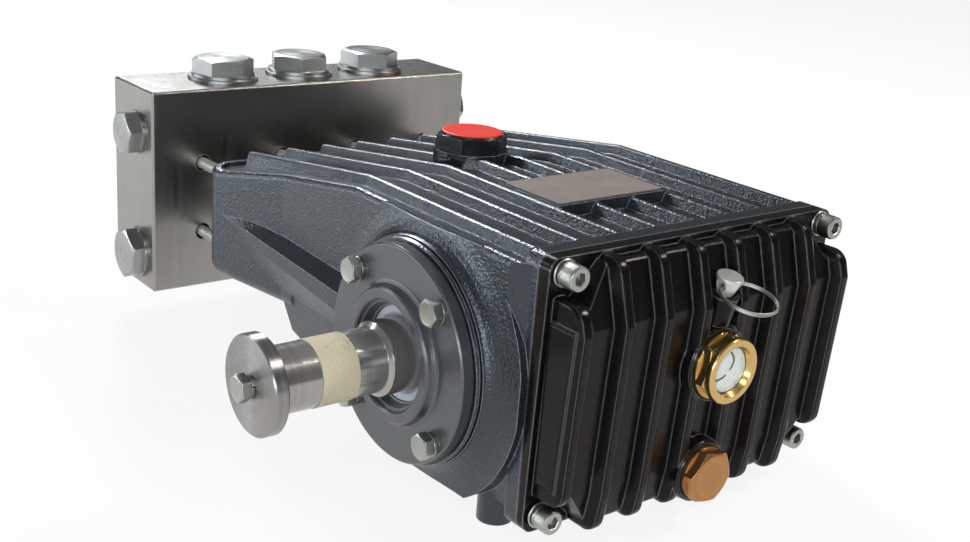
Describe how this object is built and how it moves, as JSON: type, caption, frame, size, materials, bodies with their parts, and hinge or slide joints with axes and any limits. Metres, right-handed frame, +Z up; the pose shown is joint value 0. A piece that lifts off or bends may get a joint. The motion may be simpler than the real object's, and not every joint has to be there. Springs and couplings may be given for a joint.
{
  "type": "triplex plunger pump",
  "caption": "Horizontal plunger pump with a ribbed crankcase, ribbed rear cover, side drive shaft and a steel valve manifold with plugs.",
  "frame": {"origin": "centre of the four foot screw holes, on the plane the feet stand on", "axes": "+X across the pump, away from the drive shaft end; +Y from the rear cover to the manifold; +Z up"},
  "size_m": [0.3619, 0.4966, 0.183],
  "materials": {
    "black_cast_enamel": "semi-gloss enamel on sand casting",
    "black_cover_paint": "gloss black paint",
    "gasket_sheet": "matte",
    "plate_metal": "satin",
    "seal_rubber": "matte",
    "ground_stainless": "ground",
    "plug_steel": "turned and milled",
    "zinc_steel": "zinc plated",
    "polished_steel": "fine turned",
    "brass_fitting": "machined",
    "window_glass": "clear",
    "black_plastic": "moulded",
    "red_plastic": "moulded",
    "paper_tape": "creped"
  },
  "bodies": {
    "pump": {"crankcase": "black_cast_enamel", "rear_cover": "black_cover_paint", "rear_gasket": "gasket_sheet", "nameplate": "plate_metal", "drive_bearing_cover": "black_cover_paint", "drive_cover_shim": "gasket_sheet", "shaft_oil_seal": "seal_rubber", "blind_bearing_cover": "black_cover_paint", "blind_cover_shim": "gasket_sheet", "manifold": "ground_stainless", "valve_plug_1": "plug_steel", "valve_plug_2": "plug_steel", "valve_plug_3": "plug_steel", "upper_port_plug_left": "plug_steel", "upper_port_plug_right": "plug_steel", "lower_port_plug_left": "plug_steel", "lower_port_plug_right": "plug_steel", "upper_rods": "zinc_steel", "lower_rods": "zinc_steel", "packing_sleeve_1": "plug_steel", "packing_sleeve_2": "plug_steel", "packing_sleeve_3": "plug_steel", "oil_filler_cap": "black_plastic", "filler_cap_disc": "red_plastic", "sight_glass_body": "brass_fitting", "sight_glass_window": "window_glass", "drain_plug": "brass_fitting", "dipstick": "zinc_steel"},
    "crankshaft": {"drive_shaft": "polished_steel", "shaft_tape": "paper_tape", "shaft_end_washer": "polished_steel", "shaft_end_bolt": "zinc_steel"},
    "ring": {"pull_ring": "zinc_steel"}
  },
  "joints": [
    {"name": "crankshaft_spin", "type": "hinge", "parent": "pump", "child": "crankshaft", "pos_m": [-0.15, -0.042, 0.085], "axis": [-1, 0, 0], "continuous": true},
    {"name": "pull_ring_swing", "type": "hinge", "parent": "pump", "child": "ring", "pos_m": [0, -0.15139, 0.13954], "axis": [-1, 0, 0], "range_deg": [0, 95]}
  ]
}
